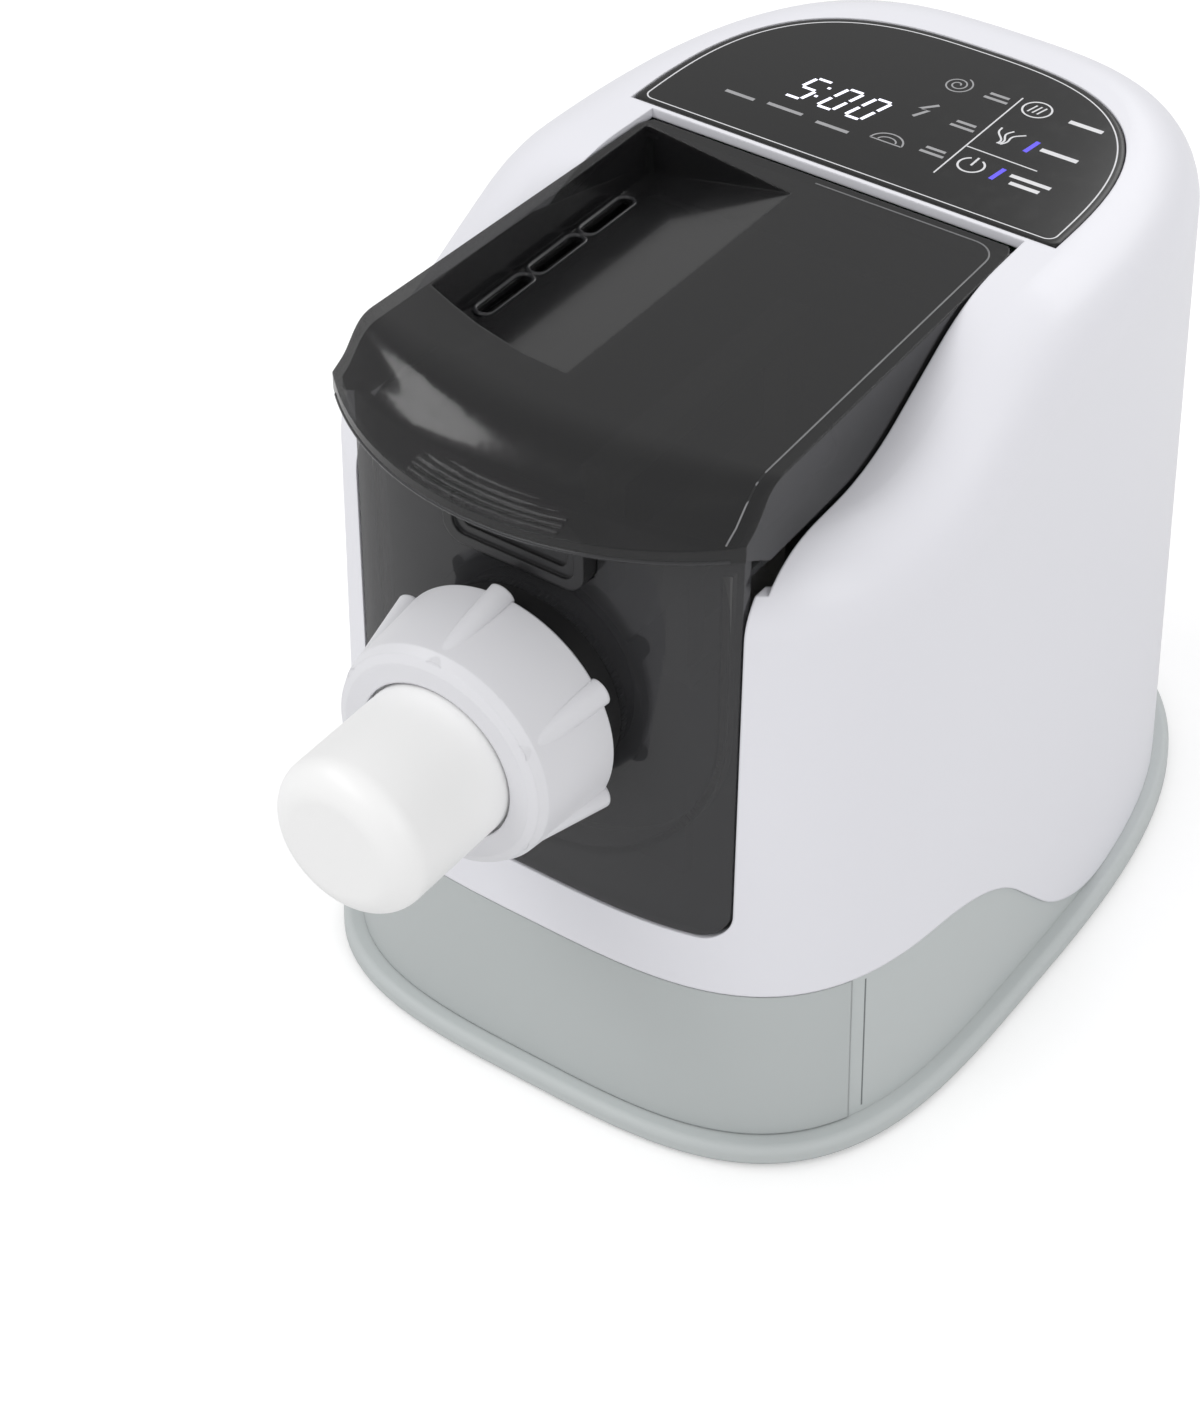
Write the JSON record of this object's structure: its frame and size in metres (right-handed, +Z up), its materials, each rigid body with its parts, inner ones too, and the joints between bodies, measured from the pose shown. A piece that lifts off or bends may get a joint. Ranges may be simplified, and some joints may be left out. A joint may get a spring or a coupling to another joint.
{
  "type": "electric pasta maker",
  "caption": "Upright electric pasta maker: smoked tilting lid, front cover with a nozzle held by a ribbed ring nut, touch panel behind the lid, storage drawer in a grey base.",
  "frame": {"origin": "bottom centre of the bounding box, on the surface that the feet stand on", "axes": "-Y is the front, where the nozzle points; +X is to the right of a person who faces the front; +Z is up"},
  "size_m": [0.212, 0.3658, 0.2409],
  "materials": {
    "white_shell": "satin",
    "grey_base": "matte",
    "drawer_grey": "matte",
    "foot_rubber": "matte",
    "inner_frame": "matte",
    "well_black": "matte",
    "zinc_screw": "plain",
    "panel_glass": "gloss",
    "circuit_green": "matte",
    "bearing_steel": "bright",
    "motor_steel": "plain",
    "inlet_black": "matte",
    "runner_nylon": "matte",
    "bowl_clear": "gloss",
    "seal_silicone": "matte",
    "cover_smoke": "gloss",
    "lid_smoke": "gloss",
    "latch_black": "satin",
    "cap_white": "satin",
    "die_white": "matte",
    "nut_grey": "satin",
    "paddle_white": "satin",
    "gear_nylon": "matte",
    "gear_steel": "plain",
    "fan_black": "matte"
  },
  "bodies": {
    "base": {"housing": "white_shell", "base_tray": "grey_base", "rubber_feet": "foot_rubber", "chassis_deck": "inner_frame", "bulkhead": "inner_frame", "deck_posts": "inner_frame", "bowl_saddles": "inner_frame", "well_liner": "well_black", "base_screws": "zinc_screw", "control_glass": "panel_glass", "control_board": "circuit_green", "gearbox_case": "inner_frame", "shaft_bearing": "bearing_steel", "motor_case": "motor_steel", "power_board": "circuit_green", "power_inlet": "inlet_black", "inlet_pins": "bearing_steel", "drawer_runners": "runner_nylon", "lid_switch": "inlet_black", "hinge_brackets": "bearing_steel"},
    "bowl": {"mixing_bowl": "bowl_clear", "shaft_seal": "seal_silicone"},
    "cover": {"front_cover": "cover_smoke", "cover_gasket": "seal_silicone", "extrusion_barrel": "well_black"},
    "latch": {"latch_button": "latch_black"},
    "nozzle": {"nozzle_cap": "cap_white", "die_plate": "die_white"},
    "nut": {"ring_nut": "nut_grey"},
    "agitator": {"mixing_paddle": "paddle_white", "auger_screw": "paddle_white"},
    "drive": {"drive_shaft": "bearing_steel", "output_gear": "gear_nylon", "drive_coupling": "gear_nylon"},
    "idler": {"idler_gear": "gear_nylon"},
    "rotor": {"motor_rotor": "motor_steel", "motor_pinion": "gear_steel", "cooling_fan": "fan_black"},
    "lid": {"lid": "lid_smoke"},
    "drawer": {"drawer_front": "drawer_grey", "drawer_box": "drawer_grey"}
  },
  "joints": [
    {"name": "bowl_pull", "type": "slide", "parent": "base", "child": "bowl", "axis": [0, -1, 0], "range_m": [0, 0.15]},
    {"name": "cover_pull", "type": "slide", "parent": "bowl", "child": "cover", "axis": [0, -1, 0], "range_m": [0, 0.09]},
    {"name": "nozzle_pull", "type": "slide", "parent": "cover", "child": "nozzle", "axis": [0, -1, 0], "range_m": [0, 0.06]},
    {"name": "nut_turn", "type": "hinge", "parent": "nozzle", "child": "nut", "pos_m": [0, -0.124, 0.155], "axis": [0, -1, 0], "continuous": true},
    {"name": "latch_press", "type": "slide", "parent": "cover", "child": "latch", "axis": [0, 1, 0], "range_m": [0, 0.002], "stiffness_N_per_m": 900},
    {"name": "agitator_spin", "type": "hinge", "parent": "bowl", "child": "agitator", "pos_m": [0, -0.02, 0.155], "axis": [0, 1, 0], "continuous": true},
    {"name": "drive_spin", "type": "hinge", "parent": "base", "child": "drive", "pos_m": [0, 0.07, 0.155], "axis": [0, 1, 0], "continuous": true},
    {"name": "idler_spin", "type": "hinge", "parent": "base", "child": "idler", "pos_m": [0.01788, 0.07, 0.12638], "axis": [0, 1, 0], "continuous": true},
    {"name": "rotor_spin", "type": "hinge", "parent": "base", "child": "rotor", "pos_m": [0, 0.1, 0.10483], "axis": [0, 1, 0], "continuous": true},
    {"name": "lid_tilt", "type": "hinge", "parent": "base", "child": "lid", "pos_m": [0, 0.0469, 0.2366], "axis": [-1, 0, 0], "range_deg": [0, 95]},
    {"name": "drawer_slide", "type": "slide", "parent": "base", "child": "drawer", "axis": [0, -1, 0], "range_m": [0, 0.105]}
  ],
  "couplings": [
    {"joint": "drive_spin", "follows": "agitator_spin", "ratio": 1},
    {"joint": "idler_spin", "follows": "agitator_spin", "ratio": -2.8571},
    {"joint": "rotor_spin", "follows": "agitator_spin", "ratio": 8.5714}
  ]
}
